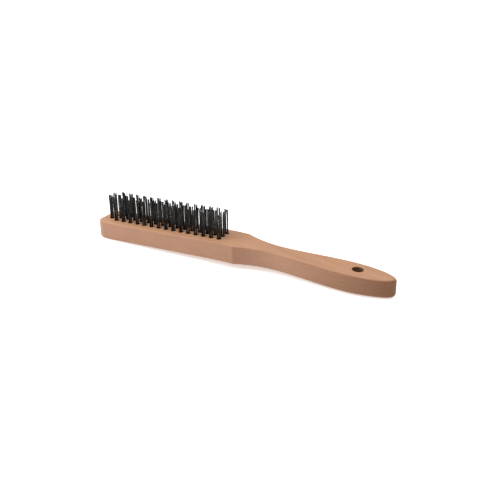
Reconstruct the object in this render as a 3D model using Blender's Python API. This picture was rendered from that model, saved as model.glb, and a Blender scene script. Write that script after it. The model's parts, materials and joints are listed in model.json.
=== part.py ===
"""Wire scratch brush: a one-piece wooden handle block with a drooping handle, and rows of
steel wire tufts anchored in blind holes drilled into its head."""

import math
import random

import bmesh
import bpy
from mathutils import Vector

MM = 0.001

# The wooden block. X runs from the nose (0) to the handle's end, and the bristle face is Z = 0.
OVERALL_LENGTH = 292.5 * MM
BOARD_THICKNESS = 17 * MM
HEAD_WIDTH = 35 * MM
NOSE_CORNER_RADIUS = 10 * MM
HEAD_END_MARGIN = 17.5 * MM  # from the last tuft to the start of the shoulder
SHOULDER_RADIUS = 5 * MM
NECK_ARC_RADIUS = 85 * MM
WAIST_WIDTH = 18.5 * MM
GRIP_WIDTH = 28.4 * MM
END_ROUNDING_LENGTH = 41 * MM  # from the widest place of the grip to the end
HANDLE_DROOP = math.radians(3.9)  # the handle leans away from the bristles
BEND_LENGTH = 20 * MM

# Radius of the rounded edge along the outline, on the bristle side and on the back.
NOSE_EDGE = (1.0 * MM, 2.6 * MM)
HEAD_EDGE = (1.0 * MM, 1.4 * MM)
GRIP_EDGE = (2.4 * MM, 2.6 * MM)
END_EDGE = (2.6 * MM, 4.4 * MM)

# The hole that the brush hangs from.
HANG_HOLE_DIAMETER = 10 * MM
HANG_HOLE_FROM_END = 34 * MM

# The tufts and the holes that hold them.
TUFTS_PER_ROW = 15
NOSE_TO_FIRST_TUFT = 9.95 * MM  # the column nearest the nose holds two tufts, the others three
TUFT_PITCH = 8.05 * MM
ROW_GAP = 7.3 * MM
TUFT_HOLE_DIAMETER = 4.5 * MM
WOOD_UNDER_HOLES = 5 * MM
WIRE_HEIGHT = 24 * MM  # from the wood to the longest wire
UNEVENNESS = 1.0 * MM  # how much shorter the shortest wires are
TUFT_TOP_GAP = 1.2 * MM  # between the spread tops of neighbouring tufts
MOST_LEAN = 0.35 * MM  # sideways shift of a tuft's top
ANCHOR_HEIGHT = 2.2 * MM  # the flat staple that holds the folded wires down
ANCHOR_EAR = 0.4 * MM  # how far the staple stands out beside the wires

CLEARANCE = 0.3 * MM  # between a tuft and its hole
CUT_MARGIN = 3 * MM  # how far a cutter stands out of the wood

# How finely curves are divided.
CORNER_STEPS = 6
BEND_STEPS = 4
SHOULDER_STEPS = 4
NECK_STEPS = 8
GRIP_STEPS = 10
END_STEPS = 12
EDGE_STEPS = 2
TUFT_HOLE_SIDES = 16
HANG_HOLE_SIDES = 32
TUFT_SIDES = 12
FLUTE_DEPTH = 0.8  # radius between two wires, as a share of the radius over a wire

BEECH = (0.61, 0.38, 0.24, 1.0)
DARK_STEEL = (0.055, 0.055, 0.058, 1.0)

LAST_TUFT_X = NOSE_TO_FIRST_TUFT + TUFTS_PER_ROW * TUFT_PITCH
SHOULDER_X = LAST_TUFT_X + HEAD_END_MARGIN
BEND_MIDDLE_X = SHOULDER_X - BEND_LENGTH / 2
GRIP_X = OVERALL_LENGTH - END_ROUNDING_LENGTH
HOLE_DEPTH = BOARD_THICKNESS - WOOD_UNDER_HOLES


def clear_scene():
    for obj in list(bpy.data.objects):
        bpy.data.objects.remove(obj, do_unlink=True)


def make_material(name, colour, roughness, metallic):
    material = bpy.data.materials.new(name)
    material.use_nodes = True
    shader = material.node_tree.nodes["Principled BSDF"]
    shader.inputs["Base Color"].default_value = colour
    shader.inputs["Roughness"].default_value = roughness
    shader.inputs["Metallic"].default_value = metallic
    material.diffuse_color = colour
    return material


def add_object(name, mesh, material=None):
    obj = bpy.data.objects.new(name, mesh)
    bpy.context.scene.collection.objects.link(obj)
    if material:
        mesh.materials.append(material)
    return obj


def smooth_step(value, low, high):
    """0 below low, 1 above high, and an even ease between them."""
    share = min(max((value - low) / (high - low), 0.0), 1.0)
    return share * share * (3 - 2 * share)


def droop(x):
    """Height of the bristle side at x: flat over the head, a short bend, then a straight fall."""
    slope = math.tan(HANDLE_DROOP)
    start = BEND_MIDDLE_X - BEND_LENGTH / 2
    if x <= start:
        return 0.0
    if x >= start + BEND_LENGTH:
        return -slope * (x - BEND_MIDDLE_X)
    return -slope * (x - start) ** 2 / (2 * BEND_LENGTH)


def arc(centre, radius, start, end, steps):
    """Points on an arc in plan, its first point left out. Angles run from +X towards +Y."""
    angles = [start + (end - start) * step / steps for step in range(1, steps + 1)]
    return [
        (centre[0] + radius * math.cos(angle), centre[1] + radius * math.sin(angle))
        for angle in angles
    ]


def side_outline():
    """The +Y edge of the block in plan, from the nose's front face to the handle's end."""
    head = HEAD_WIDTH / 2
    waist = WAIST_WIDTH / 2
    grip = GRIP_WIDTH / 2

    # Nose: flat front, then a rounded corner.
    corner = (NOSE_CORNER_RADIUS, head - NOSE_CORNER_RADIUS)
    points = [(0.0, corner[1])]
    points += arc(corner, NOSE_CORNER_RADIUS, math.pi, math.pi / 2, CORNER_STEPS)

    # Straight side of the head, with points only where the block bends.
    bend_start = BEND_MIDDLE_X - BEND_LENGTH / 2
    points += [(bend_start + BEND_LENGTH * step / BEND_STEPS, head) for step in range(BEND_STEPS)]

    # The shoulder arc touches the side of the head and the hollow arc of the neck.
    shoulder_y = head - SHOULDER_RADIUS
    neck_y = waist + NECK_ARC_RADIUS
    between = SHOULDER_RADIUS + NECK_ARC_RADIUS
    neck_x = SHOULDER_X + math.sqrt(between**2 - (neck_y - shoulder_y) ** 2)
    turn = math.atan2(neck_y - shoulder_y, neck_x - SHOULDER_X)
    points.append((SHOULDER_X, head))
    points += arc((SHOULDER_X, shoulder_y), SHOULDER_RADIUS, math.pi / 2, turn, SHOULDER_STEPS)
    points += arc((neck_x, neck_y), NECK_ARC_RADIUS, turn - math.pi, -math.pi / 2, NECK_STEPS)

    # The grip swells evenly from the waist to its widest place.
    for step in range(1, GRIP_STEPS + 1):
        share = step / GRIP_STEPS
        swell = (1 - math.cos(math.pi * share)) / 2
        points.append((neck_x + (GRIP_X - neck_x) * share, waist + (grip - waist) * swell))

    # A quarter of an ellipse rounds the end.
    for step in range(1, END_STEPS + 1):
        angle = math.pi / 2 * step / END_STEPS
        x = GRIP_X + END_ROUNDING_LENGTH * math.sin(angle)
        points.append((x, grip * math.cos(angle) if step < END_STEPS else 0.0))
    return points


def outward(points, index):
    """The outline's outward direction at a point, from its two neighbours."""
    before = Vector(points[index - 1])
    after = Vector(points[(index + 1) % len(points)])
    along = (after - before).normalized()
    return Vector((-along.y, along.x))


def edge_radius(x, side):
    """Radius of the rounded edge at x. Side 0 is the bristle side and side 1 is the back."""
    nose_end = NOSE_CORNER_RADIUS
    after_nose = smooth_step(x, nose_end / 2, 2 * nose_end)
    on_handle = smooth_step(x, SHOULDER_X, SHOULDER_X + 2 * BEND_LENGTH)
    near_end = smooth_step(x, GRIP_X, OVERALL_LENGTH - END_ROUNDING_LENGTH / 4)
    radius = NOSE_EDGE[side] + (HEAD_EDGE[side] - NOSE_EDGE[side]) * after_nose
    radius += (GRIP_EDGE[side] - HEAD_EDGE[side]) * on_handle
    return radius + (END_EDGE[side] - GRIP_EDGE[side]) * near_end


def block_mesh():
    """The block as stacked copies of its outline, drawn in where the edges are rounded."""
    far_side = side_outline()
    near_side = [(x, -y) for x, y in reversed(far_side[:-1])]
    outline = far_side + near_side
    normals = [outward(outline, index) for index in range(len(outline))]

    levels = []
    for step in range(EDGE_STEPS + 1):
        levels.append((1, math.pi / 2 * step / EDGE_STEPS))
    for step in range(EDGE_STEPS, -1, -1):
        levels.append((0, math.pi / 2 * step / EDGE_STEPS))

    bm = bmesh.new()
    rings = []
    for side, angle in levels:
        ring = []
        for (x, y), normal in zip(outline, normals):
            radius = edge_radius(x, side)
            inset = radius * (1 - math.sin(angle))
            rise = radius * (1 - math.cos(angle))
            place = Vector((x, y)) - inset * normal
            top = droop(place.x)
            height = top - rise if side == 0 else top - BOARD_THICKNESS + rise
            ring.append(bm.verts.new((place.x, place.y, height)))
        rings.append(ring)

    for lower, upper in zip(rings, rings[1:]):
        for index in range(len(outline)):
            after = (index + 1) % len(outline)
            bm.faces.new((lower[after], lower[index], upper[index], upper[after]))

    # Each flat side is closed by strips across the block, which follow the bend.
    count = len(outline)
    for ring, upward in ((rings[0], False), (rings[-1], True)):
        for index in range(len(far_side) - 1):
            mirror = count - 1 - index
            corners = [ring[index], ring[index + 1], ring[mirror - 1], ring[mirror]]
            if corners[1] is corners[2]:
                corners.pop(2)
            bm.faces.new(corners[::-1] if upward else corners)

    mesh = bpy.data.meshes.new("handle_block")
    bm.normal_update()
    bm.to_mesh(mesh)
    bm.free()
    mesh.shade_smooth()
    mesh.set_sharp_from_angle(angle=math.radians(35))
    return mesh


def tuft_places():
    """Name, x and y of each tuft. The two nearest the nose, numbered 0, stand between the rows."""
    places = [
        ("tuft_near_00", NOSE_TO_FIRST_TUFT, -ROW_GAP / 2),
        ("tuft_far_00", NOSE_TO_FIRST_TUFT, ROW_GAP / 2),
    ]
    for row, y in (("near", -ROW_GAP), ("middle", 0.0), ("far", ROW_GAP)):
        for number in range(1, TUFTS_PER_ROW + 1):
            x = NOSE_TO_FIRST_TUFT + number * TUFT_PITCH
            places.append((f"tuft_{row}_{number:02d}", x, y))
    return places


def add_drill(bm, centre, diameter, length, sides, lean=0.0):
    """Adds a closed cylinder, its axis along Z and then leant back by an angle about Y."""
    made = bmesh.ops.create_cone(
        bm,
        cap_ends=True,
        segments=sides,
        radius1=diameter / 2,
        radius2=diameter / 2,
        depth=length,
    )
    for vert in made["verts"]:
        x = vert.co.x * math.cos(lean) + vert.co.z * math.sin(lean)
        z = vert.co.z * math.cos(lean) - vert.co.x * math.sin(lean)
        vert.co = Vector((x, vert.co.y, z)) + centre


def make_drills():
    """One hidden cutter that holds every drilled hole: the tufts' blind holes and the hang hole."""
    bm = bmesh.new()
    length = HOLE_DEPTH + CUT_MARGIN
    for _, x, y in tuft_places():
        centre = Vector((x, y, length / 2 - HOLE_DEPTH))
        add_drill(bm, centre, TUFT_HOLE_DIAMETER, length, TUFT_HOLE_SIDES)

    hang_x = OVERALL_LENGTH - HANG_HOLE_FROM_END
    centre = Vector((hang_x, 0.0, droop(hang_x) - BOARD_THICKNESS / 2))
    through = BOARD_THICKNESS + 2 * CUT_MARGIN
    # Its axis is square to the drooping handle, not to the head.
    add_drill(bm, centre, HANG_HOLE_DIAMETER, through, HANG_HOLE_SIDES, HANDLE_DROOP)

    mesh = bpy.data.meshes.new("drills")
    bm.to_mesh(mesh)
    bm.free()
    drills = add_object("drills", mesh)
    drills.hide_render = True
    drills.display_type = "WIRE"
    return drills


def make_block(material):
    """The block with its holes drilled."""
    block = add_object("handle_block", block_mesh(), material)
    drilled = block.modifiers.new("drilled_holes", "BOOLEAN")
    drilled.operation = "DIFFERENCE"
    drilled.solver = "EXACT"
    drilled.object = make_drills()
    return block


def tuft_mesh(name, draw):
    """One tuft: folded wires with their flat anchor in the hole, spreading above the wood."""
    hole_radius = TUFT_HOLE_DIAMETER / 2 * math.cos(math.pi / TUFT_HOLE_SIDES)
    foot_radius = hole_radius - CLEARANCE
    root_radius = foot_radius - ANCHOR_EAR
    top_radius = (min(TUFT_PITCH, ROW_GAP) - TUFT_TOP_GAP) / 2 - MOST_LEAN
    fold_height = root_radius / 2
    bottom = CLEARANCE - HOLE_DEPTH
    lean_angle = draw.uniform(0, 2 * math.pi)
    lean = Vector((math.cos(lean_angle), math.sin(lean_angle))) * draw.uniform(0, MOST_LEAN)

    # Height, radius, flute depth, share of the lean.
    levels = [
        (bottom, root_radius / 2, 1.0, 0.0),
        (bottom + fold_height, root_radius, 1.0, 0.0),
        (bottom + fold_height + ANCHOR_HEIGHT, root_radius, 1.0, 0.0),
        (0.0, foot_radius, FLUTE_DEPTH, 0.0),
        (WIRE_HEIGHT, top_radius, FLUTE_DEPTH, 1.0),
    ]
    bm = bmesh.new()
    rings = []
    for level, (height, radius, flute, leaning) in enumerate(levels):
        ring = []
        for side in range(TUFT_SIDES):
            angle = 2 * math.pi * (side + 0.5) / TUFT_SIDES
            reach = radius * (flute if side % 2 else 1.0)
            ring.append(
                bm.verts.new((
                    reach * math.cos(angle) + lean.x * leaning,
                    reach * math.sin(angle) + lean.y * leaning,
                    height,
                ))
            )
        rings.append(ring)

    walls = {}
    for level, (lower, upper) in enumerate(zip(rings, rings[1:])):
        for side in range(TUFT_SIDES):
            after = (side + 1) % TUFT_SIDES
            corners = (lower[side], lower[after], upper[after], upper[side])
            walls[level, side] = bm.faces.new(corners)
    bm.faces.new(rings[0][::-1])
    top = bm.faces.new(rings[-1])

    # Wire ends: the rim is uneven, and the middle lies a little lower.
    for vert in rings[-1]:
        vert.co.z -= UNEVENNESS * draw.random()
    rings[-1][0].co.z = WIRE_HEIGHT
    bmesh.ops.poke(bm, faces=[top], offset=-UNEVENNESS)

    # Anchor: the wall faces that look along +Y and -Y grow into the staple's two ears.
    level_of_anchor = 1
    for side in (TUFT_SIDES // 4 - 1, 3 * TUFT_SIDES // 4 - 1):
        wall = walls[level_of_anchor, side]
        direction = wall.calc_center_median()
        direction.z = 0
        grown = bmesh.ops.extrude_discrete_faces(bm, faces=[wall])
        for vert in grown["faces"][0].verts:
            vert.co += direction.normalized() * ANCHOR_EAR

    mesh = bpy.data.meshes.new(name)
    bmesh.ops.recalc_face_normals(bm, faces=bm.faces)
    bm.to_mesh(mesh)
    bm.free()
    mesh.shade_smooth()
    mesh.set_sharp_from_angle(angle=math.radians(40))
    return mesh


def make_tufts(material):
    draw = random.Random(46)
    tufts = []
    for name, x, y in tuft_places():
        tuft = add_object(name, tuft_mesh(name, draw), material)
        tuft.location = (x, y, 0.0)
        tufts.append(tuft)
    return tufts


def stand_on_floor(block, others):
    """Parents everything to one empty, which tips the brush until nose and handle end touch the floor.

    The empty then puts the origin under the middle of the brush, on the floor.
    """
    nose_x = NOSE_EDGE[1]
    end_x = OVERALL_LENGTH - END_EDGE[1]
    tip = math.atan2(droop(nose_x) - droop(end_x), end_x - nose_x)

    rest = bpy.data.objects.new("rest_on_floor", None)
    bpy.context.scene.collection.objects.link(rest)
    rest.rotation_euler = (0.0, -tip, 0.0)
    for obj in [block, *others]:
        obj.parent = rest

    bpy.context.view_layer.update()
    shape = block.evaluated_get(bpy.context.evaluated_depsgraph_get())
    corners = [shape.matrix_world @ vert.co for vert in shape.data.vertices]
    ends = (min(corner.x for corner in corners), max(corner.x for corner in corners))
    rest.location = (-sum(ends) / 2, 0.0, -min(corner.z for corner in corners))


def main():
    clear_scene()
    beech = make_material("beech_wood", BEECH, 0.6, 0.0)
    steel = make_material("dark_steel_wire", DARK_STEEL, 0.4, 0.9)
    block = make_block(beech)
    drills = block.modifiers["drilled_holes"].object
    stand_on_floor(block, [drills, *make_tufts(steel)])


main()
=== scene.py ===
"""Wire scratch brush: the looks of its beech block and its steel wire tufts."""

import json
import math
import random

import bmesh
import bpy
from bpy.props import FloatProperty, FloatVectorProperty, IntProperty, PointerProperty
from bpy.types import Operator, Panel, PropertyGroup
from mathutils import Matrix, Vector


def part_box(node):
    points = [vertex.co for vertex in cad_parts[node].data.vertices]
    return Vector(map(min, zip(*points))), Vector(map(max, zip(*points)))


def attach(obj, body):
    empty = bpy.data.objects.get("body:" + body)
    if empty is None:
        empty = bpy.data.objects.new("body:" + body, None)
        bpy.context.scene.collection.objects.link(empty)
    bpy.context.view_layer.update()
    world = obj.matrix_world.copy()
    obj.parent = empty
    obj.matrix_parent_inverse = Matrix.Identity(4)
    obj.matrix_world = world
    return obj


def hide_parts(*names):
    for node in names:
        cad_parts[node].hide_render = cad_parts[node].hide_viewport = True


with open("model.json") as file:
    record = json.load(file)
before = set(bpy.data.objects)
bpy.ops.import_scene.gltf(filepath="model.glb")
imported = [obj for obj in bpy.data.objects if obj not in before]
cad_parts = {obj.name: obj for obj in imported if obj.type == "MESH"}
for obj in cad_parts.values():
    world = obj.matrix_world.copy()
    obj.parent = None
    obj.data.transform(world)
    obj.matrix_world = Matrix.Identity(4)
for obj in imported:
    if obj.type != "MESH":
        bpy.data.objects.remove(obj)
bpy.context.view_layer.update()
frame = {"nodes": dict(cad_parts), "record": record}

bl_info = {
    "name": "Wire Scratch Brush",
    "version": (1, 0, 0),
    "blender": (4, 5, 0),
    "location": "3D View > Sidebar > Scratch Brush",
    "description": "Builds a beech scratch brush with folded steel wire tufts around its packed model",
    "category": "Add Mesh",
}

MM = 0.001
SAME_PLACE = 0.001 * MM  # closer points than this are one point
OVERCUT = 3 * MM  # how far a drill stands out of the wood

# Radius of the rounded edge along the outline, on the bristle side and on the back.
NOSE_EDGE = (1.0 * MM, 2.6 * MM)
HEAD_EDGE = (1.0 * MM, 1.4 * MM)
GRIP_EDGE = (2.4 * MM, 2.6 * MM)
END_EDGE = (2.6 * MM, 4.4 * MM)

# How finely curves are divided.
CORNER_STEPS = 16
SHOULDER_STEPS = 10
NECK_STEPS = 24
GRIP_STEPS = 30
END_STEPS = 30
EDGE_SEGMENTS = 8
BEND_CUTS = 12
TUFT_HOLE_SIDES = 32
HANG_HOLE_SIDES = 72
WIRE_SIDES = 6
FOLD_STEPS = 4
LEG_CUTS = (0.3, 0.6, 0.78, 0.9, 1.0)  # where a leg is divided, as shares of its height
HOOK_START = 0.7  # where a wire starts to turn aside, as a share of its height
HOOK_END = 1.3  # where the turn would be whole, beyond the wire's own end
SHORTEST_LEAN = 0.75  # how far out the end of a wire stays at least, as a share of its full spread
WIRE_SPACING = 1.04  # between folded wires side by side, in wire thicknesses
STAPLE_RISE = 1.15  # from the bottom of the hole to the staple, in wire thicknesses
SMOOTH_WOOD = math.radians(32)  # edges of the wood that turn by less are shaded smooth
SMOOTH_WIRE = math.radians(70)

FLOOR_RADIUS = 6
FLOOR_SIDES = 96
FLOOR_DROP = 0.3 * MM  # how far the floor lies below the brush
CLIP_START = 10 * MM

# Fixed colours that are mixed into those of the settings, or that multiply them.
WARM_WOOD = (0.40, 0.190, 0.140)
END_GRAIN = (0.36, 0.24, 0.15)
# Painted shade: the first tint darkens the sides against the broad faces, and the second makes the broad
# faces yellower.
SIDE_SHADE_TINT = (0.77, 0.76, 0.68)
FACE_TINT = (1.0, 0.985, 0.79)
NO_TINT = (1.0, 1.0, 1.0)
# Painted shade on the grip's sides and on faces turned towards the handle's end, partly hand patina.
GRIP_SHADE_AND_PATINA = (0.50, 0.37, 0.20)
MILL_SCALE = (0.040, 0.030, 0.022)

# Places and sizes in the beech's pattern, in millimetres.
PITH_DEPTH = 58  # from the bristle face down to the middle of the tree
PITH_SIDE = 11  # from the brush's middle plane to the middle of the tree
RING_WIDTH = 3.1
RING_SWAY = 9
# Where the grip's painted shade and patina start, and where they are darkest.
GRIP_START = 190
GRIP_DARKEST = 285
HOLE_PARTING = (200, 210)  # tuft holes lie before the first, the hanging hole after the second

WOOD_SHINE = 0.42
WOOD_RELIEF = 0.12 * MM
WOOD_RELIEF_STRENGTH = 0.35
STEEL_METALLIC = 0.85
STEEL_RELIEF = 0.04 * MM
STEEL_RELIEF_STRENGTH = 0.3


def length(name, description, default):
    return FloatProperty(
        name=name, description=description, default=default, min=0.0, unit="LENGTH", precision=5
    )


def turn(name, description, degrees):
    return FloatProperty(
        name=name, description=description, default=math.radians(degrees), subtype="ANGLE"
    )


def colour(name, description, default):
    return FloatVectorProperty(
        name=name, description=description, default=default, size=3, min=0.0, max=1.0, subtype="COLOR"
    )


class BlockSettings(PropertyGroup):
    """Sizes and colours of the wooden block. X runs from the nose to the handle's end."""

    overall_length: length("Length", "From the nose to the handle's end", 292.5 * MM)
    thickness: length("Thickness", "Thickness of the board", 17 * MM)
    head_width: length("Head width", "Width of the head", 35 * MM)
    head_length: length("Head length", "From the nose to the shoulder", 148.2 * MM)
    nose_corner: length("Nose corner", "Radius of the nose's corners in plan", 10 * MM)
    shoulder: length("Shoulder", "Radius where the head turns into the neck", 5 * MM)
    neck_arc: length("Neck arc", "Radius of the hollow side of the neck", 85 * MM)
    waist_width: length("Waist width", "Width at the narrowest place of the neck", 18.5 * MM)
    grip_width: length("Grip width", "Width at the widest place of the grip", 28.4 * MM)
    end_rounding: length("End rounding", "From the widest place of the grip to the end", 41 * MM)
    droop: turn("Droop", "How far the handle leans away from the wires", 3.9)
    bend_length: length("Bend length", "Length over which the handle starts to droop", 20 * MM)
    hang_hole: length("Hanging hole", "Diameter of the hanging hole", 10 * MM)
    hang_hole_from_end: length("Hole from end", "From the handle's end to the hanging hole", 34 * MM)
    tuft_hole: length("Tuft hole", "Diameter of the hole that holds one tuft", 4.5 * MM)
    tuft_hole_depth: length("Hole depth", "Depth of the tufts' blind holes", 12 * MM)
    rim: length("Broken rim", "How wide the rim of a drilled hole is broken", 0.18 * MM)
    light_wood: colour("Light wood", "Early wood of the steamed beech", (0.40, 0.215, 0.142))
    dark_wood: colour("Dark wood", "Late wood of the steamed beech", (0.32, 0.163, 0.105))
    fleck: colour("Fleck", "Ray flecks in the beech", (0.20, 0.085, 0.045))
    # Drill browning together with painted shade in the holes.
    drilled: colour("Drilled wood", "Wood browned by the drill", (0.050, 0.012, 0.005))


class TuftSettings(PropertyGroup):
    """Sizes and colours of the wire tufts."""

    nose_to_first: length("First tuft", "From the nose to the first tuft", 9.95 * MM)
    pitch: length("Pitch", "Distance between tufts along a row", 8.05 * MM)
    row_gap: length("Row gap", "Distance between rows", 7.3 * MM)
    wire_height: length("Wire height", "From the wood to the longest wire", 24 * MM)
    unevenness: length("Unevenness", "How much shorter the shortest wires are", 1.1 * MM)
    wire: length("Wire", "Thickness of the wire", 0.8 * MM)
    leg_gap: length("Leg gap", "Between the two legs of a wire at its fold", 1.8 * MM)
    foot_spread: length("Foot spread", "Radius that the wires fill at the wood", 1.6 * MM)
    top_spread: length("Top spread", "Radius that the wires fill at their ends", 2.0 * MM)
    wander: length("Wander", "How far a wire bows or strays from straight", 0.18 * MM)
    hook: length("Hook", "How far the end of a wire turns aside", 0.8 * MM)
    clearance: length("Clearance", "Between a tuft and its hole", 0.3 * MM)
    staple_height: length("Staple height", "Height of the flat staple in the fold", 2.2 * MM)
    staple_thickness: length("Staple thickness", "Thickness of the flat staple", 0.3 * MM)
    wires: IntProperty(name="Wires", description="Folded wires in a tuft", default=3, min=1)
    seed: IntProperty(name="Seed", description="Draws the wires' bends", default=46)
    steel: colour("Steel", "Dark drawn steel", (0.010, 0.009, 0.009))
    worn_steel: colour("Worn steel", "Lighter streaks along the wire", (0.11, 0.107, 0.10))
    cut_steel: colour("Cut steel", "Freshly cut ends of the wires", (0.10, 0.10, 0.10))


class StageSettings(PropertyGroup):
    """Floor, light and camera."""

    floor: colour("Floor", "Colour of the floor", (0.82, 0.82, 0.82))
    sky: FloatProperty(name="Sky", description="Strength of the white surroundings", default=0.92)
    glow: FloatProperty(name="Glow", description="Light that the table gives off itself", default=0.55)
    key: FloatProperty(name="Key", description="Power of the large lamp, in watts", default=6.0)
    overhead: FloatProperty(name="Overhead", description="Power of the lamp above, in watts", default=2.4)
    lamp_size: length("Lamp size", "Side of each square lamp", 600 * MM)
    key_place: FloatVectorProperty(
        name="Key place", description="Where the large lamp hangs", size=3, subtype="XYZ",
        default=(-0.65, -0.28, 0.50),
    )
    overhead_place: FloatVectorProperty(
        name="Overhead place", description="Where the lamp above hangs", size=3, subtype="XYZ",
        default=(0.05, -0.05, 0.85),
    )
    azimuth: turn("Azimuth", "Camera's place round the brush", 26.12)
    elevation: turn("Elevation", "Camera's height above the horizon", 23.71)
    roll: turn("Roll", "Turn of the camera about its own axis", 1.44)
    distance: length("Distance", "From the camera to the point it looks at", 629.4 * MM)
    aim: FloatVectorProperty(
        name="Aim", description="Point that the camera looks at", size=3, subtype="XYZ",
        default=(10.93 * MM, 1.86 * MM, 12.83 * MM),
    )
    lens: FloatProperty(name="Lens", description="Focal length in millimetres", default=50.4)


def rest_place():
    """Matrix from the brush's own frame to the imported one.

    In its own frame the nose is at X = 0 and the bristle face at Z = 0.
    """
    back = next(m for m in frame["record"]["mounts"] if m["name"] == "head_back")
    normal = Vector(back["axis"])
    on_back = Vector(back["pos_m"])
    tip = math.atan2(normal.x, -normal.z)
    origin_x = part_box("handle_block")[0].x - NOSE_EDGE[0] * math.sin(tip)
    thickness = bpy.context.scene.brush_block.thickness
    origin_z = on_back.z - (thickness - normal.x * (on_back.x - origin_x)) / normal.z
    return Matrix.Translation((origin_x, 0.0, origin_z)) @ Matrix.Rotation(-tip, 4, "Y")


# ------------------------------------------------------------------ working with operators


def select_only(*objects):
    """Leaves edit mode and selects these objects alone, the first one active."""
    if bpy.context.object and bpy.context.object.mode != "OBJECT":
        bpy.ops.object.mode_set(mode="OBJECT")
    bpy.ops.object.select_all(action="DESELECT")
    for obj in objects:
        obj.select_set(True)
    if objects:
        bpy.context.view_layer.objects.active = objects[0]


def start_edit(name):
    """Names the new primitive, puts its place in its mesh and enters edit mode."""
    obj = bpy.context.object
    obj.name = name
    obj.data.name = name
    bpy.ops.object.transform_apply(location=True, rotation=True, scale=True)
    bpy.ops.object.mode_set(mode="EDIT")
    return obj


def pick(kind, test):
    """Selects, in edit mode, only the vertices, edges or faces that pass the test."""
    mesh = bpy.context.object.data
    bpy.ops.mesh.select_mode(type=kind)
    bpy.ops.mesh.select_all(action="DESELECT")
    edited = bmesh.from_edit_mesh(mesh)
    for element in {"VERT": edited.verts, "EDGE": edited.edges, "FACE": edited.faces}[kind]:
        element.select_set(test(element))
    bmesh.update_edit_mesh(mesh)


def finish_modifier(obj, kind, **settings):
    """Adds a modifier, sets it and applies it."""
    select_only(obj)
    bpy.ops.object.modifier_add(type=kind)
    modifier = obj.modifiers[-1]
    for name, value in settings.items():
        setattr(modifier, name, value)
    bpy.ops.object.modifier_apply(modifier=modifier.name)


def copy_of(obj, name):
    """A copy with its own mesh."""
    made = obj.copy()
    made.data = obj.data.copy()
    made.name = name
    made.data.name = name
    bpy.context.scene.collection.objects.link(made)
    return made


def joined(objects, name):
    select_only(*objects)
    bpy.ops.object.join()
    made = bpy.context.object
    made.name = name
    made.data.name = name
    return made


def put_at_rest(obj, place):
    """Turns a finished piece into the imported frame, with its place in its mesh."""
    select_only(obj)
    obj.matrix_world = place @ obj.matrix_world
    bpy.ops.object.transform_apply(location=True, rotation=True, scale=True)


def discard(obj):
    mesh = obj.data
    bpy.data.objects.remove(obj)
    bpy.data.meshes.remove(mesh)


# ------------------------------------------------------------------ shader maths


class Value:
    """A socket that varies over a surface. Arithmetic on it adds Math nodes to its finish."""

    def __init__(self, finish, node, socket):
        self.finish = finish
        self.node = node
        self.socket = socket

    def out(self, name):
        return Value(self.finish, self.node, self.node.outputs[name])

    def math(self, operation, *others, clamp=False):
        sockets = dict(enumerate((self, *others)))
        settings = {"operation": operation, "use_clamp": clamp}
        return self.finish.add("ShaderNodeMath", settings, sockets)

    def reflected(self, operation, other):
        return self.finish.add("ShaderNodeMath", {"operation": operation}, {0: other, 1: self})

    def __add__(self, other):
        return self.math("ADD", other)

    def __sub__(self, other):
        return self.math("SUBTRACT", other)

    def __mul__(self, other):
        return self.math("MULTIPLY", other)

    def __truediv__(self, other):
        return self.math("DIVIDE", other)

    def __pow__(self, other):
        return self.math("POWER", other)

    def __rsub__(self, other):
        return self.reflected("SUBTRACT", other)

    def __rtruediv__(self, other):
        return self.reflected("DIVIDE", other)

    __radd__ = __add__
    __rmul__ = __mul__

    def between(self, low, high):
        """0 at low, 1 at high, with an even ease between. High may be the lower one."""
        sockets = {"Value": self, "From Min": low, "From Max": high}
        return self.finish.add("ShaderNodeMapRange", {"interpolation_type": "SMOOTHSTEP"}, sockets)


class Finish:
    """A material and its nodes."""

    def __init__(self, name):
        self.material = bpy.data.materials.new(name)
        self.material.use_nodes = True
        self.tree = self.material.node_tree
        self.shader = self.tree.nodes["Principled BSDF"]

    def add(self, kind, settings=None, sockets=None):
        """Adds a node: its type, its settings, then the values or links of its sockets."""
        node = self.tree.nodes.new(kind)
        for name, value in (settings or {}).items():
            setattr(node, name, value)
        self.set(node, sockets or {})
        return Value(self, node, next(out for out in node.outputs if out.enabled))

    def set(self, node, sockets):
        """Sets or links sockets, each given by its number or by its name among those in use."""
        for name, value in sockets.items():
            if isinstance(name, int):
                socket = node.inputs[name]
            else:
                socket = next(found for found in node.inputs if found.enabled and found.name == name)
            if isinstance(value, Value):
                self.tree.links.new(value.socket, socket)
            else:
                socket.default_value = value

    def surface(self, **sockets):
        named = {name.replace("_", " "): value for name, value in sockets.items()}
        self.set(self.shader, named)

    def blend(self, factor, first, second, mode="MIX"):
        """Colours mixed by a factor."""
        settings = {"data_type": "RGBA", "blend_type": mode, "clamp_factor": True}
        return self.add("ShaderNodeMix", settings, {"Factor": factor, "A": first, "B": second})

    def vector(self, x, y, z):
        return self.add("ShaderNodeCombineXYZ", None, {"X": x, "Y": y, "Z": z})

    def noise(self, vector, scale=1.0, detail=2.0, roughness=0.5):
        sockets = {"Vector": vector, "Scale": scale, "Detail": detail, "Roughness": roughness}
        return self.add("ShaderNodeTexNoise", {"normalize": True}, sockets)


def opaque(rgb):
    return (*rgb, 1.0)


# ------------------------------------------------------------------ finishes


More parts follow.
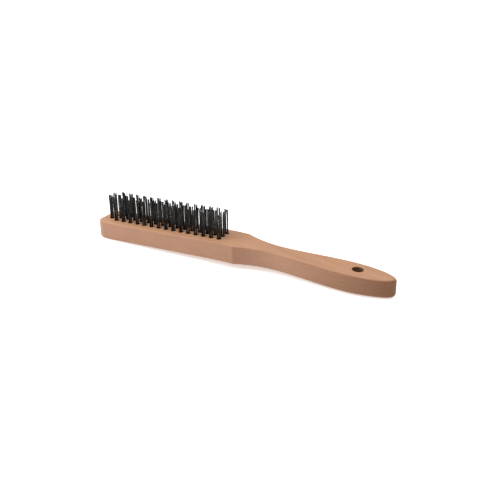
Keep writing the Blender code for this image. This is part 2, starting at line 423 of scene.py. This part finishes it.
def beech(place):
    """Sanded beech: growth rings, ray flecks, fibres and pores in one solid pattern, in millimetres."""
    block = bpy.context.scene.brush_block
    wood = Finish("beech_wood")
    world = wood.add("ShaderNodeTexCoord").out("Object")
    along = {"Location": place.to_translation(), "Rotation": place.to_euler(), "Scale": (MM, MM, MM)}
    board = wood.add("ShaderNodeMapping", {"vector_type": "TEXTURE"}, {"Vector": world, **along})
    parts = wood.add("ShaderNodeSeparateXYZ", None, {"Vector": board})
    x = parts.out("X")
    y = parts.out("Y")
    z = parts.out("Z")

    # The tree's middle lies under the board, so the face shows arched rings and the sides straight ones.
    sway = wood.noise(wood.vector(x / 70, y / 30, z / 30), detail=3.0)
    across = y - PITH_SIDE + (sway - 0.5) * RING_SWAY
    deep = z + PITH_DEPTH
    radius = (across * across + deep * deep) ** 0.5
    angle = across.math("ARCTAN2", deep)
    ring = (radius / RING_WIDTH).math("FRACT")
    late = ring.between(0.45, 0.98) * ring.between(1.0, 0.985)

    # Rays are thin sheets: short along the grain, thin round the tree, wide from its middle out.
    sheet = wood.vector(x / 2.6, angle * PITH_DEPTH / 0.55, radius / 7)
    cells = wood.add("ShaderNodeTexVoronoi", {"feature": "F1"}, {"Vector": sheet, "Scale": 1.0})
    chosen = wood.add("ShaderNodeSeparateColor", None, {"Color": cells.out("Color")})
    ray = cells.out("Distance").between(0.42, 0.16) * chosen.out("Red").between(0.35, 0.75)

    fibre = wood.noise(wood.vector(x / 9, y * 3.2, z * 3.2), detail=4.0, roughness=0.6)
    pores = wood.noise(wood.vector(x / 1.1, y * 9, z * 9), detail=2.0).between(0.66, 0.76)
    patch = wood.noise(wood.vector(x / 34, y / 9, z / 9), detail=3.0, roughness=0.6)
    warmth = wood.noise(wood.vector(x / 15, y / 13, z / 7 + 40), detail=2.0)

    face = wood.add("ShaderNodeNewGeometry").out("Normal")
    normal = wood.add("ShaderNodeSeparateXYZ", None, {"Vector": face})
    end_grain = normal.out("X").math("ABSOLUTE").between(0.72, 0.97)

    tone = late * 0.24 + (fibre - 0.5) * 0.7 + (patch - 0.5) * 1.4 + 0.40
    clean = wood.blend(tone, opaque(block.light_wood), opaque(block.dark_wood))
    pink = wood.blend((warmth - 0.42) * 1.1, clean, opaque(WARM_WOOD))
    flecked = wood.blend(ray * (1 - end_grain) * 0.30, pink, opaque(block.fleck))
    pored = wood.blend(pores * 0.22, flecked, opaque(block.fleck))
    ended = wood.blend(end_grain * 0.30, pored, opaque(END_GRAIN))

    # Painted shade: by the way they face, the sides are multiplied darker than the broad faces, and the
    # broad faces are yellower. The grip's sides darken further, partly as hand patina and partly as painted
    # shade. Faces turned towards the handle's end get painted shade.
    broad = normal.out("Z").math("ABSOLUTE").between(0.45, 0.95)
    tint = wood.blend(broad, opaque(SIDE_SHADE_TINT), opaque(FACE_TINT))
    # The grip's sides darken, partly as hand patina and partly as painted shade. Faces turned towards the
    # handle's end, away from the key lamp, get painted shade.
    on_grip = x.between(GRIP_START, GRIP_DARKEST) * (1 - broad)
    grip_shade_and_patina_mask = on_grip * 0.7 + normal.out("X").between(0.08, 0.5) * 0.25
    side_shaded = wood.blend(1.0, ended, tint, mode="MULTIPLY")
    shade_and_patina = wood.blend(grip_shade_and_patina_mask, opaque(NO_TINT), opaque(GRIP_SHADE_AND_PATINA))
    # This colour carries the painted shade of the sides and the grip as well as the patina.
    worn = wood.blend(1.0, side_shaded, shade_and_patina, mode="MULTIPLY")

    # The drill leaves its holes brown, and painted shade darkens them further as recesses. The tufts' holes
    # are darker than the hanging hole.
    drilled = wood.add("ShaderNodeAttribute", {"attribute_name": "drilled"}).out("Fac")
    hole_shade_and_scorch = drilled * (0.72 + 0.2 * patch) * (1 - x.between(*HOLE_PARTING) * 0.45)
    bare = wood.blend(hole_shade_and_scorch, worn, opaque(block.drilled))

    relief = fibre * 0.35 - pores * 0.5 - ray * 0.12 + drilled * (z * 9).math("SINE") * 0.12
    depth = {"Strength": WOOD_RELIEF_STRENGTH, "Distance": WOOD_RELIEF}
    bump = wood.add("ShaderNodeBump", None, {**depth, "Height": relief})
    rough = 0.56 + fibre * 0.12 - ray * 0.10 + drilled * 0.15
    wood.surface(Base_Color=bare, Roughness=rough, Normal=bump)
    wood.shader.inputs["Specular IOR Level"].default_value = WOOD_SHINE
    return wood.material


def steel():
    """Dark drawn wire: streaks and scale along the wire, bright where it is cut."""
    tufts = bpy.context.scene.brush_tufts
    wire = Finish("dark_steel_wire")
    world = wire.add("ShaderNodeTexCoord").out("Object")
    metal = wire.add("ShaderNodeMapping", None, {"Vector": world, "Scale": (1 / MM, 1 / MM, 1 / MM)})
    parts = wire.add("ShaderNodeSeparateXYZ", None, {"Vector": metal})
    x = parts.out("X")
    y = parts.out("Y")
    z = parts.out("Z")
    streak = wire.noise(wire.vector(x * 2.4, y * 2.4, z / 9), detail=3.0, roughness=0.65)
    drawn = wire.noise(wire.vector(x * 11, y * 11, z / 2.5), detail=2.0)
    scale = wire.noise(wire.vector(x * 1.1, y * 1.1, z / 1.6), detail=4.0, roughness=0.7)

    face = wire.add("ShaderNodeNewGeometry").out("Normal")
    up = wire.add("ShaderNodeSeparateXYZ", None, {"Vector": face}).out("Z")
    end = up.between(0.80, 0.93)
    worn = streak.between(0.50, 0.66)
    body = wire.blend(worn * 0.85, opaque(tufts.steel), opaque(tufts.worn_steel))
    dull = wire.blend(scale.between(0.56, 0.70) * 0.5, body, opaque(MILL_SCALE))
    cut = wire.blend(end * 0.8, dull, opaque(tufts.cut_steel))
    rough = 0.36 + scale * 0.22 - worn * 0.08
    height = drawn * 0.6 + scale * 0.4
    depth = {"Strength": STEEL_RELIEF_STRENGTH, "Distance": STEEL_RELIEF}
    bump = wire.add("ShaderNodeBump", None, {**depth, "Height": height})
    wire.surface(Base_Color=cut, Roughness=rough, Normal=bump)
    wire.shader.inputs["Metallic"].default_value = STEEL_METALLIC
    return wire.material


def pale_floor():
    stage = bpy.context.scene.brush_stage
    floor = Finish("pale_floor")
    floor.surface(Base_Color=opaque(stage.floor), Roughness=0.9)
    floor.surface(Emission_Color=opaque(stage.floor), Emission_Strength=stage.glow)
    return floor.material


# ------------------------------------------------------------------ the block


def ease(value, low, high):
    """0 below low, 1 above high, and an even ease between them."""
    share = min(max((value - low) / (high - low), 0.0), 1.0)
    return share * share * (3 - 2 * share)


def droop(block, x):
    """Height of the bristle side at x: flat over the head, a short bend, then a straight fall."""
    slope = math.tan(block.droop)
    start = block.head_length - block.bend_length
    if x <= start:
        return 0.0
    if x >= block.head_length:
        return -slope * (x - start - block.bend_length / 2)
    return -slope * (x - start) ** 2 / (2 * block.bend_length)


def edge_radius(block, x, side):
    """Radius of the rounded edge at x. Side 0 is the bristle side and side 1 is the back."""
    after_nose = ease(x, block.nose_corner / 2, 2 * block.nose_corner)
    on_handle = ease(x, block.head_length, block.head_length + 2 * block.bend_length)
    grip_x = block.overall_length - block.end_rounding
    near_end = ease(x, grip_x, block.overall_length - block.end_rounding / 4)
    radius = NOSE_EDGE[side] + (HEAD_EDGE[side] - NOSE_EDGE[side]) * after_nose
    radius += (GRIP_EDGE[side] - HEAD_EDGE[side]) * on_handle
    return radius + (END_EDGE[side] - GRIP_EDGE[side]) * near_end


def steps(count):
    return [step / count for step in range(1, count + 1)]


def sections(block):
    """x and half width of the block in plan, from the nose's front face to the handle's end."""
    head = block.head_width / 2
    waist = block.waist_width / 2
    grip = block.grip_width / 2
    corner = block.nose_corner
    quarter = math.pi / 2
    found = [(0.0, head - corner)]
    for share in steps(CORNER_STEPS):
        angle = quarter * share
        found.append((corner * (1 - math.cos(angle)), head - corner * (1 - math.sin(angle))))

    # The shoulder's arc touches the side of the head and the hollow arc of the neck.
    shoulder_y = head - block.shoulder
    neck_y = waist + block.neck_arc
    between = block.shoulder + block.neck_arc
    neck_x = block.head_length + math.sqrt(between**2 - (neck_y - shoulder_y) ** 2)
    slant = math.atan2(neck_y - shoulder_y, neck_x - block.head_length)
    found.append((block.head_length, head))
    for share in steps(SHOULDER_STEPS):
        angle = quarter + (slant - quarter) * share
        x = block.head_length + block.shoulder * math.cos(angle)
        found.append((x, shoulder_y + block.shoulder * math.sin(angle)))
    for share in steps(NECK_STEPS):
        angle = slant + (quarter - slant) * share
        found.append((neck_x - block.neck_arc * math.cos(angle), neck_y - block.neck_arc * math.sin(angle)))

    # The grip swells evenly from the waist, and a quarter of an ellipse rounds the end.
    grip_x = block.overall_length - block.end_rounding
    for share in steps(GRIP_STEPS):
        swell = (1 - math.cos(math.pi * share)) / 2
        found.append((neck_x + (grip_x - neck_x) * share, waist + (grip - waist) * swell))
    for step in range(1, END_STEPS + 1):
        angle = quarter * step / END_STEPS
        x = grip_x + block.end_rounding * math.sin(angle)
        found.append((x, grip * math.cos(angle) if step < END_STEPS else 0.0))
    return found


def cut_plan(block):
    """The square-edged blank: the nose's front face extruded from section to section."""
    plan = sections(block)
    bpy.ops.mesh.primitive_plane_add(size=1, rotation=(0, math.pi / 2, 0))
    blank = start_edit("beech_handle_block")
    last_x, last_half = plan[0]
    bpy.ops.transform.resize(value=(1, 2 * last_half, block.thickness))
    bpy.ops.transform.translate(value=(last_x, 0, -block.thickness / 2))
    for x, half in plan[1:]:
        bpy.ops.mesh.extrude_region_move(TRANSFORM_OT_translate={"value": (x - last_x, 0, 0)})
        bpy.ops.transform.resize(value=(1, half / last_half, 1))
        last_x, last_half = x, half
    bpy.ops.mesh.select_all(action="SELECT")
    bpy.ops.mesh.remove_doubles(threshold=SAME_PLACE)

    # Each broad face becomes one, so that its edge can be rounded evenly.
    def crosses(edge):
        start, end = (vert.co for vert in edge.verts)
        return abs(start.x - end.x) < SAME_PLACE < start.x and abs(start.z - end.z) < SAME_PLACE

    pick("EDGE", crosses)
    bpy.ops.mesh.dissolve_edges(use_verts=False)
    bpy.ops.mesh.select_all(action="SELECT")
    bpy.ops.mesh.normals_make_consistent(inside=False)
    bpy.ops.object.mode_set(mode="OBJECT")
    return blank


def round_edges(blank, block):
    """Rounds the outline's edges, each place by its own radius, given as a bevel weight."""
    mesh = blank.data
    widest = max(*NOSE_EDGE, *HEAD_EDGE, *GRIP_EDGE, *END_EDGE)
    weight = mesh.attributes.new("bevel_weight_edge", "FLOAT", "EDGE")
    for edge in mesh.edges:
        start, end = (mesh.vertices[index].co for index in edge.vertices)
        if abs(start.z - end.z) < SAME_PLACE:
            side = 0 if start.z > -block.thickness / 2 else 1
            weight.data[edge.index].value = edge_radius(block, (start.x + end.x) / 2, side) / widest
    finish_modifier(
        blank, "BEVEL", width=widest, segments=EDGE_SEGMENTS, limit_method="WEIGHT", use_clamp_overlap=False
    )


def bend_handle(blank, block):
    """Cuts the blank across the bend, then lowers each point by its share of the handle's fall."""
    start = block.head_length - block.bend_length
    select_only(blank)
    bpy.ops.object.mode_set(mode="EDIT")
    for cut in range(BEND_CUTS + 1):
        x = start + block.bend_length * cut / BEND_CUTS
        bpy.ops.mesh.select_all(action="SELECT")
        bpy.ops.mesh.bisect(plane_co=(x, 0, 0), plane_no=(1, 0, 0))
    bpy.ops.object.mode_set(mode="OBJECT")
    fall = droop(block, block.overall_length)
    group = blank.vertex_groups.new(name="fall")
    for vert in blank.data.vertices:
        group.add([vert.index], droop(block, vert.co.x) / fall, "REPLACE")
    finish_modifier(
        blank, "DISPLACE", direction="Z", strength=fall, mid_level=0.0, vertex_group=group.name
    )
    blank.vertex_groups.clear()


def make_drill(name, diameter, bottom, rim, sides, through=False):
    """A drill from a height below the wood to above its face. It widens at each face that it breaks."""
    bpy.ops.mesh.primitive_cylinder_add(vertices=sides, radius=diameter / 2, depth=1, end_fill_type="NGON")
    low = bottom + rim if through else bottom
    bpy.context.object.scale.z = -rim - low
    bpy.context.object.location.z = (low - rim) / 2
    drill = start_edit(name)
    wider = 1 + 2 * rim / diameter
    for outward in (1, -1) if through else (1,):
        pick("FACE", lambda face: face.normal.z * outward > 0.9)
        bpy.ops.mesh.extrude_region_move(TRANSFORM_OT_translate={"value": (0, 0, rim * outward)})
        bpy.ops.transform.resize(value=(wider, wider, 1))
        bpy.ops.mesh.extrude_region_move(TRANSFORM_OT_translate={"value": (0, 0, OVERCUT * outward)})
    bpy.ops.object.mode_set(mode="OBJECT")
    return drill


def drill_holes(blank, block):
    """Cuts the tufts' blind holes and the hanging hole, and marks their walls as drilled."""
    first = make_drill("tuft_drill", block.tuft_hole, -block.tuft_hole_depth, block.rim, TUFT_HOLE_SIDES)
    drills = []
    for node in tuft_nodes():
        drill = copy_of(first, "drill_" + node)
        drill.location = tuft_foot(node)
        drills.append(drill)
    discard(first)

    # The hanging hole goes through, square to the drooping handle.
    hang_x = block.overall_length - block.hang_hole_from_end
    through = block.thickness * math.cos(block.droop)
    drill = make_drill("hang_drill", block.hang_hole, -through, block.rim, HANG_HOLE_SIDES, through=True)
    middle = Vector((0, 0, through / 2))
    drill.location = (hang_x, 0, droop(block, hang_x) - block.thickness / 2)
    drill.rotation_euler.y = block.droop
    drill.data.transform(Matrix.Translation(middle))
    drills.append(drill)
    cutter = joined(drills, "drills")
    cutter.data.materials.append(bpy.data.materials.new("drilled_mark"))
    finish_modifier(
        blank, "BOOLEAN", operation="DIFFERENCE", solver="EXACT", object=cutter,
        material_mode="TRANSFER",
    )
    discard(cutter)

    mesh = blank.data
    drilled = mesh.attributes.new("drilled", "FLOAT", "FACE")
    for face in mesh.polygons:
        drilled.data[face.index].value = float(face.material_index)
        face.material_index = 0
    mesh.materials.pop(index=1)


class BRUSH_OT_handle_block(Operator):
    """Builds the one-piece beech block with its drilled holes"""

    bl_idname = "brush.handle_block"
    bl_label = "Handle block"
    bl_options = {"REGISTER", "UNDO"}

    def execute(self, context):
        block = context.scene.brush_block
        place = rest_place()
        select_only()
        blank = cut_plan(block)
        round_edges(blank, block)
        bend_handle(blank, block)
        blank.data.materials.append(beech(place))
        drill_holes(blank, block)
        select_only(blank)
        bpy.ops.object.shade_smooth_by_angle(angle=SMOOTH_WOOD)
        finish_modifier(blank, "WEIGHTED_NORMAL", keep_sharp=True)
        put_at_rest(blank, place)
        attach(blank, "root")
        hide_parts("handle_block")
        return {"FINISHED"}


# ------------------------------------------------------------------ the tufts


def tuft_nodes():
    return sorted(node for node in frame["nodes"] if node.startswith("tuft_"))


def tuft_foot(node):
    """Middle of a tuft's hole in the bristle face. A node is named tuft, its row and its number."""
    tufts = bpy.context.scene.brush_tufts
    _, row, number = node.split("_")
    column = int(number)
    y = {"near": -1, "middle": 0, "far": 1}[row] * tufts.row_gap
    if column == 0:
        y /= 2  # the two tufts nearest the nose stand between the rows
    return Vector((tufts.nose_to_first + column * tufts.pitch, y, 0.0))


def model_wire(tufts, depth):
    """One wire folded in half: a half turn at the bottom of the hole and two straight legs."""
    radius = tufts.wire / 2
    half_gap = tufts.leg_gap / 2
    bend_height = radius + half_gap - depth
    start = (half_gap, 0, bend_height)
    bpy.ops.mesh.primitive_circle_add(vertices=WIRE_SIDES, radius=radius, fill_type="NGON", location=start)
    wire = start_edit("folded_wire")
    bpy.ops.mesh.select_all(action="SELECT")
    bpy.ops.mesh.spin(
        steps=FOLD_STEPS, angle=math.pi, center=(0, 0, bend_height), axis=(0, -1, 0), dupli=False
    )
    bpy.ops.mesh.select_all(action="SELECT")
    bpy.ops.mesh.remove_doubles(threshold=SAME_PLACE)
    heights = [0.0] + [tufts.wire_height * share for share in LEG_CUTS]
    for side in (-1, 1):
        pick("FACE", lambda face: is_cap(face, bend_height, side))
        at = bend_height
        for height in heights:
            bpy.ops.mesh.extrude_region_move(TRANSFORM_OT_translate={"value": (0, 0, height - at)})
            at = height
    bpy.ops.mesh.select_all(action="SELECT")
    bpy.ops.mesh.normals_make_consistent(inside=False)
    select_only(wire)
    bpy.ops.object.shade_smooth_by_angle(angle=SMOOTH_WIRE)
    return wire


def is_cap(face, height, side):
    """True for the flat end of a leg at a height, on the side with this sign of X."""
    middle = face.calc_center_median()
    return abs(face.normal.z) > 0.99 and abs(middle.z - height) < SAME_PLACE and middle.x * side > 0


def in_disc(draw, radius):
    """A point drawn evenly from a disc."""
    angle = draw.uniform(0, 2 * math.pi)
    return Vector((math.cos(angle), math.sin(angle))) * radius * math.sqrt(draw.random())


def bend_legs(wire, tufts, draw, start_y):
    """Gives the legs of one wire their own feet, ends, bows and heights, as no two are alike."""
    half_gap = tufts.leg_gap / 2
    fold = min(vert.co.z for vert in wire.data.vertices) + half_gap + tufts.wire / 2
    legs = {}
    for side in (-1, 1):
        base = Vector((side * half_gap, start_y))
        foot = base + in_disc(draw, tufts.wire / 4)
        foot.x += side * draw.uniform(0, tufts.wire / 3)
        foot = foot.normalized() * min(foot.length, tufts.foot_spread)
        end = foot * tufts.top_spread / tufts.foot_spread * draw.uniform(SHORTEST_LEAN, 1.0)
        bow = in_disc(draw, tufts.wander)
        hook = in_disc(draw, tufts.hook)
        height = 1 - draw.random() * tufts.unevenness / tufts.wire_height
        legs[side] = (base, foot, end, bow, hook, height)
    for vert in wire.data.vertices:
        base, foot, end, bow, hook, height = legs[1 if vert.co.x > 0 else -1]
        share = vert.co.z / tufts.wire_height
        if vert.co.z > 0:
            shift = foot - base + (end - foot) * share
            shift += bow * math.sin(math.pi * share) + hook * ease(share, HOOK_START, HOOK_END)
            vert.co.z *= height
        else:
            shift = (foot - base) * max(1 - vert.co.z / fold, 0)
        vert.co.x += shift.x
        vert.co.y += start_y + shift.y


def model_staple(tufts, depth):
    """The flat staple that is driven across the hole, inside the folded wires."""
    width = 2 * (tufts.foot_spread + tufts.wire / 2)
    bottom = tufts.wire * STAPLE_RISE - depth
    bpy.ops.mesh.primitive_cube_add(size=1, location=(0, 0, bottom + tufts.staple_height / 2))
    staple = bpy.context.object
    staple.scale = (tufts.staple_thickness, width, tufts.staple_height)
    bpy.ops.object.transform_apply(location=True, rotation=False, scale=True)
    finish_modifier(staple, "BEVEL", width=tufts.staple_thickness / 5, segments=2)
    return staple


class BRUSH_OT_wire_tufts(Operator):
    """Builds each tuft from folded wires and the staple that holds them"""

    bl_idname = "brush.wire_tufts"
    bl_label = "Wire tufts"
    bl_options = {"REGISTER", "UNDO"}

    def execute(self, context):
        tufts = context.scene.brush_tufts
        depth = context.scene.brush_block.tuft_hole_depth - tufts.clearance
        place = rest_place()
        finish = steel()
        draw = random.Random(tufts.seed)
        select_only()
        wire = model_wire(tufts, depth)
        staple = model_staple(tufts, depth)
        for node in tuft_nodes():
            strands = [copy_of(staple, "staple")]
            for number in range(tufts.wires):
                strand = copy_of(wire, "wire")
                start_y = (number - (tufts.wires - 1) / 2) * tufts.wire * WIRE_SPACING
                bend_legs(strand, tufts, draw, start_y)
                strands.append(strand)
            tuft = joined(strands, "steel_" + node)
            tuft.location = tuft_foot(node)
            tuft.data.materials.append(finish)
            put_at_rest(tuft, place)
            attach(tuft, "root")
            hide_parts(node)
        discard(wire)
        discard(staple)
        return {"FINISHED"}


# ------------------------------------------------------------------ the stage


def add_lamp(name, power, size, place):
    """A square area lamp that faces the origin."""
    facing = (-Vector(place)).to_track_quat("-Z", "Y").to_euler()
    bpy.ops.object.light_add(type="AREA", location=place, rotation=facing)
    lamp = bpy.context.object
    lamp.name = name
    lamp.data.energy = power
    lamp.data.size = size


class BRUSH_OT_stage(Operator):
    """Lays the pale floor and sets the soft lamps, the white surroundings and the camera"""

    bl_idname = "brush.stage"
    bl_label = "Stage"
    bl_options = {"REGISTER", "UNDO"}

    def execute(self, context):
        stage = context.scene.brush_stage
        select_only()
        bpy.ops.mesh.primitive_circle_add(
            vertices=FLOOR_SIDES, radius=FLOOR_RADIUS, fill_type="NGON", location=(0, 0, -FLOOR_DROP)
        )
        floor = context.object
        floor.name = "floor"
        floor.data.materials.append(pale_floor())

        world = bpy.data.worlds.new("studio")
        world.use_nodes = True
        world.node_tree.nodes["Background"].inputs["Color"].default_value = (1, 1, 1, 1)
        world.node_tree.nodes["Background"].inputs["Strength"].default_value = stage.sky
        context.scene.world = world
        context.scene.view_settings.view_transform = "Standard"
        add_lamp("key_lamp", stage.key, stage.lamp_size, stage.key_place)
        add_lamp("overhead_lamp", stage.overhead, stage.lamp_size, stage.overhead_place)

        azimuth = stage.azimuth
        flat = math.cos(stage.elevation)
        back = Vector((math.sin(azimuth) * flat, -math.cos(azimuth) * flat, math.sin(stage.elevation)))
        facing = (-back).to_track_quat("-Z", "Y").to_matrix() @ Matrix.Rotation(stage.roll, 3, "Z")
        where = Vector(stage.aim) + back * stage.distance
        bpy.ops.object.camera_add(location=where, rotation=facing.to_euler())
        camera = context.object
        camera.name = "camera"
        camera.data.lens = stage.lens
        camera.data.clip_start = CLIP_START
        context.scene.camera = camera
        return {"FINISHED"}


class BRUSH_PT_panel(Panel):
    """Lists the brush's sizes and the buttons that build it"""

    bl_idname = "BRUSH_PT_panel"
    bl_label = "Scratch Brush"
    bl_space_type = "VIEW_3D"
    bl_region_type = "UI"
    bl_category = "Scratch Brush"

    def draw(self, context):
        groups = (
            (context.scene.brush_block, BRUSH_OT_handle_block),
            (context.scene.brush_tufts, BRUSH_OT_wire_tufts),
            (context.scene.brush_stage, BRUSH_OT_stage),
        )
        for settings, operator in groups:
            box = self.layout.box()
            for name in settings.__annotations__:
                box.prop(settings, name)
            box.operator(operator.bl_idname)


CLASSES = (
    BlockSettings,
    TuftSettings,
    StageSettings,
    BRUSH_OT_handle_block,
    BRUSH_OT_wire_tufts,
    BRUSH_OT_stage,
    BRUSH_PT_panel,
)


def register():
    for kind in CLASSES:
        bpy.utils.register_class(kind)
    bpy.types.Scene.brush_block = PointerProperty(type=BlockSettings)
    bpy.types.Scene.brush_tufts = PointerProperty(type=TuftSettings)
    bpy.types.Scene.brush_stage = PointerProperty(type=StageSettings)


def unregister():
    del bpy.types.Scene.brush_stage
    del bpy.types.Scene.brush_tufts
    del bpy.types.Scene.brush_block
    for kind in reversed(CLASSES):
        bpy.utils.unregister_class(kind)


def main():
    register()
    bpy.ops.brush.stage()
    bpy.ops.brush.handle_block()
    bpy.ops.brush.wire_tufts()


if __name__ == "__main__":
    main()
